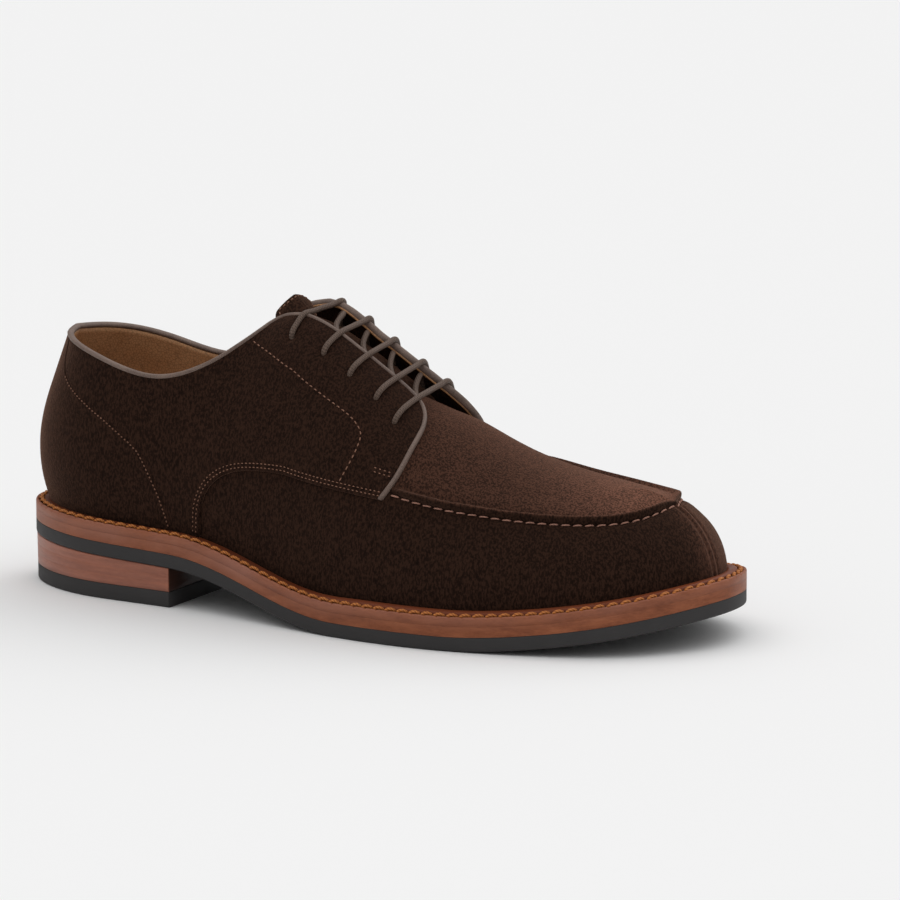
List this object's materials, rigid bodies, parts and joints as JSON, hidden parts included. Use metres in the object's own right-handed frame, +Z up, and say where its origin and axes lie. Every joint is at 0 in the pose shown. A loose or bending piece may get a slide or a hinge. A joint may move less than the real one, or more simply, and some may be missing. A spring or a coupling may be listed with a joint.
{
  "type": "split toe derby shoe",
  "caption": "Hollow right derby shoe in suede with an apron and split toe, open lacing, stitched welt, rubber sole and stacked heel; stands empty on heel and forefoot.",
  "frame": {"origin": "on the floor under the middle of the shoe's plan box", "axes": "+X towards the toe, -Y the outer side of the foot, +Z up"},
  "size_m": [0.294, 0.1074, 0.1158],
  "materials": {
    "suede": "dark brown suede, short nap",
    "welt_leather": "brown waxed edge with light stitching",
    "midsole_leather": "brown waxed edge",
    "sole_rubber": "black matt rubber",
    "stack_leather": "stacked leather layers, waxed",
    "insole_leather": "tan vegetable tanned leather",
    "waxed_cord": "round waxed cotton cord"
  },
  "bodies": {
    "root": {"upper": "suede", "tongue": "suede", "welt": "welt_leather", "midsole": "midsole_leather", "outsole": "sole_rubber", "heel_stack": "stack_leather", "heel_top_piece": "sole_rubber", "insole": "insole_leather", "lace_bar_1": "waxed_cord", "lace_bar_2": "waxed_cord", "lace_bar_3": "waxed_cord", "lace_bar_4": "waxed_cord", "lace_bar_5": "waxed_cord"}
  },
  "joints": []
}
